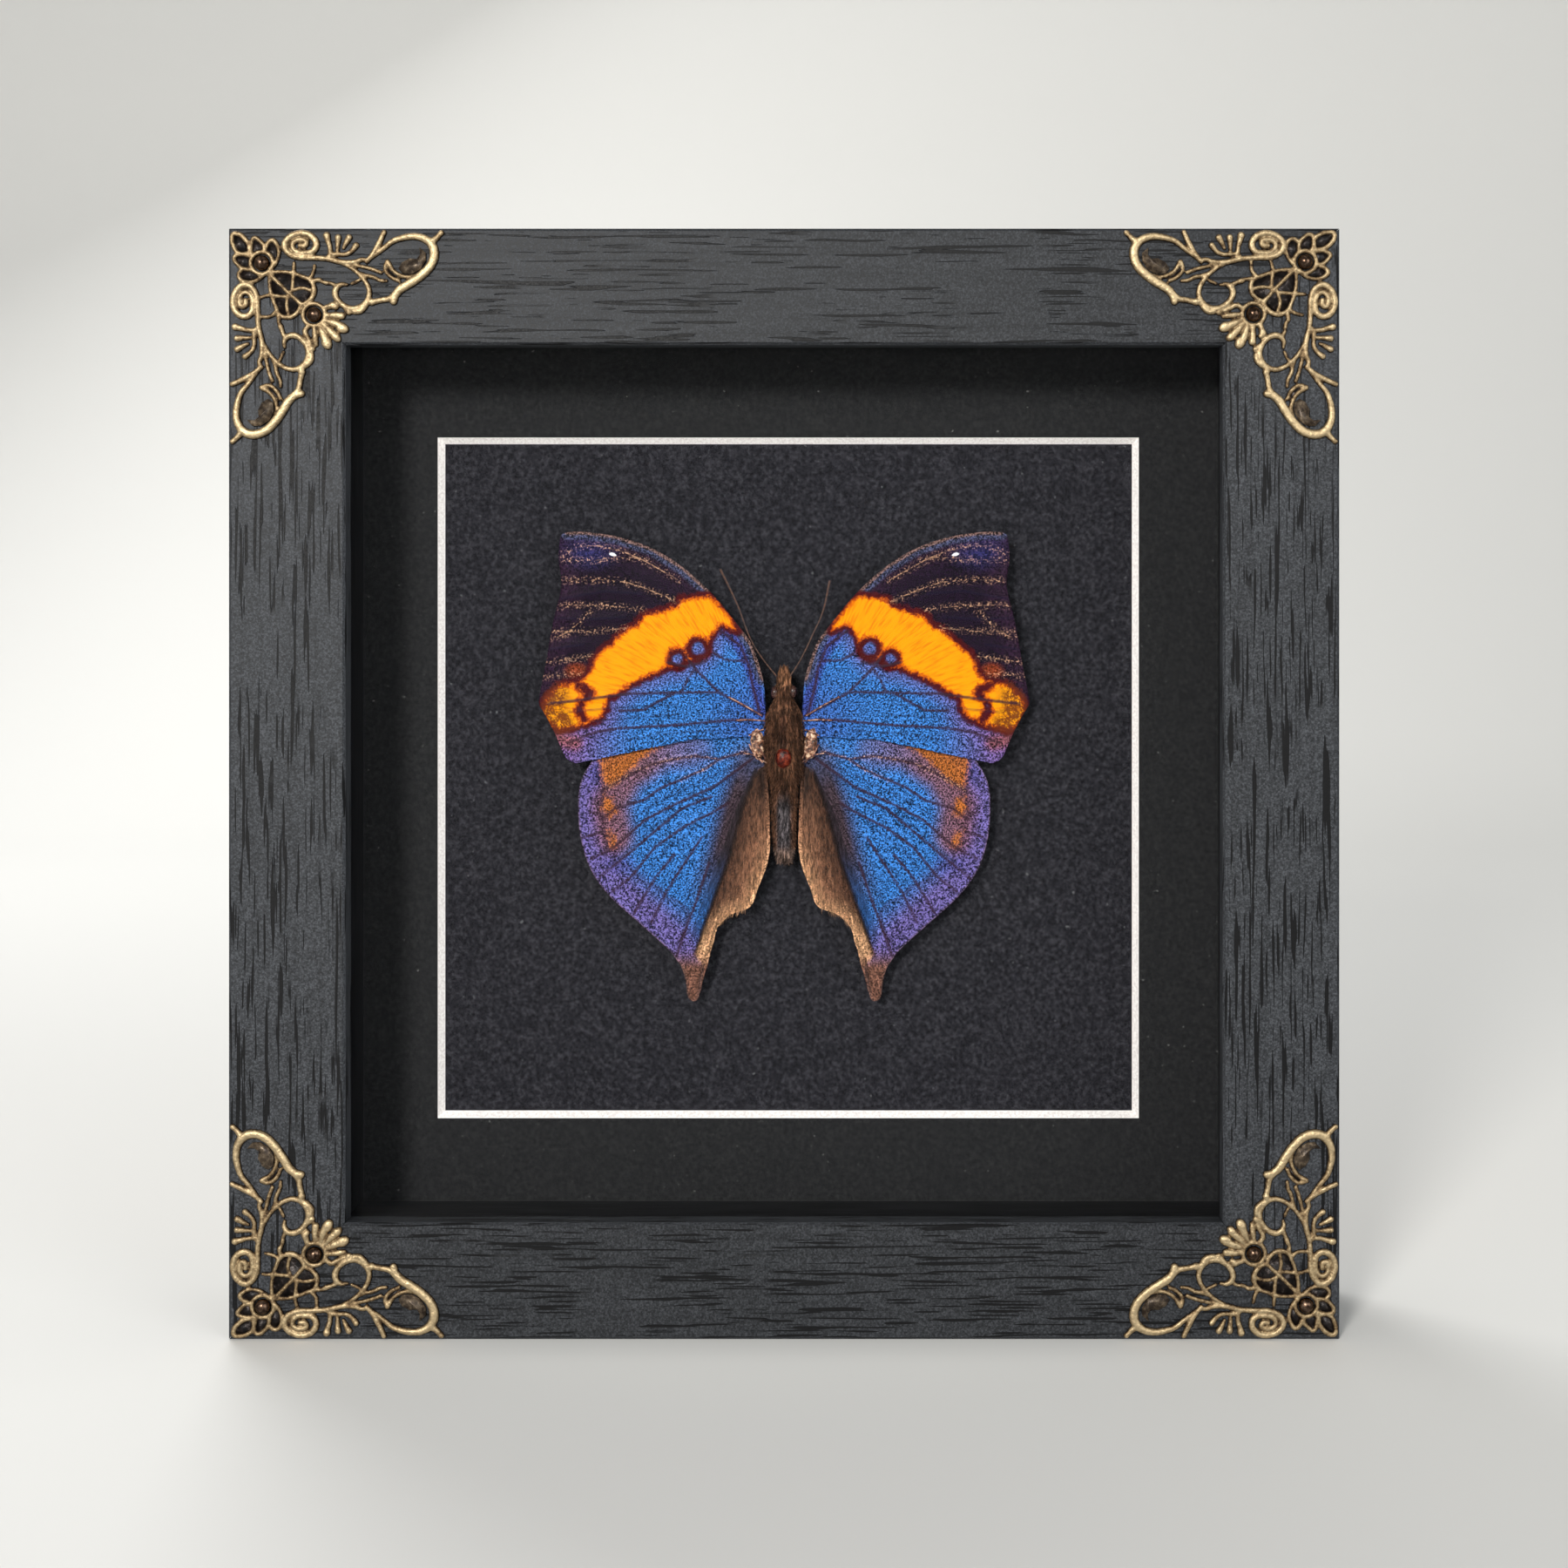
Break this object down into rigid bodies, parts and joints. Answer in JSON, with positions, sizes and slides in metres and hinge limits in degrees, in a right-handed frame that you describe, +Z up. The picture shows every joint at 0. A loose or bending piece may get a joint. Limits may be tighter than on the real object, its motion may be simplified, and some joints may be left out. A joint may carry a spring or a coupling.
{
  "type": "framed butterfly specimen",
  "caption": "Square box frame in black open-grain wood with brass filigree corners, holding one butterfly with spread wings behind glass in a bevelled black mat.",
  "frame": {"origin": "middle of the footprint on the surface the frame stands on", "axes": "+Z up, the glazed front faces -Y, +X to the right as seen from the front"},
  "size_m": [0.2, 0.0382, 0.2],
  "materials": {
    "black_wood": "satin",
    "antique_brass": "satin",
    "nail_bronze": "polished",
    "clear_glass": "polished",
    "black_strip": "matte",
    "black_mat": "matte",
    "grey_board": "matte",
    "fibreboard": "matte",
    "tab_steel": "satin",
    "hanger_brass": "satin",
    "nail_steel": "satin",
    "insect_body": "matte",
    "forewing_scales": "satin",
    "hindwing_scales": "satin",
    "cork": "matte"
  },
  "bodies": {
    "root": {"top_rail": "black_wood", "right_stile": "black_wood", "bottom_rail": "black_wood", "left_stile": "black_wood", "corner_casting_1": "antique_brass", "corner_casting_2": "antique_brass", "corner_casting_3": "antique_brass", "corner_casting_4": "antique_brass", "corner_nail_1a": "nail_bronze", "corner_nail_1b": "nail_bronze", "corner_nail_2a": "nail_bronze", "corner_nail_2b": "nail_bronze", "corner_nail_3a": "nail_bronze", "corner_nail_3b": "nail_bronze", "corner_nail_4a": "nail_bronze", "corner_nail_4b": "nail_bronze", "glass_pane": "clear_glass", "spacer_top": "black_strip", "spacer_bottom": "black_strip", "spacer_left": "black_strip", "spacer_right": "black_strip", "window_mat": "black_mat", "backing_board": "grey_board", "back_panel": "fibreboard", "retaining_tab_1": "tab_steel", "retaining_tab_2": "tab_steel", "retaining_tab_3": "tab_steel", "retaining_tab_4": "tab_steel", "retaining_tab_5": "tab_steel", "retaining_tab_6": "tab_steel", "retaining_tab_7": "tab_steel", "retaining_tab_8": "tab_steel", "hanger_plate": "hanger_brass", "hanger_nail_left": "nail_steel", "hanger_nail_right": "nail_steel", "butterfly_body": "insect_body", "left_antenna": "insect_body", "right_antenna": "insect_body", "left_forewing": "forewing_scales", "right_forewing": "forewing_scales", "left_hindwing": "hindwing_scales", "right_hindwing": "hindwing_scales", "specimen_pad": "cork"}
  },
  "joints": []
}
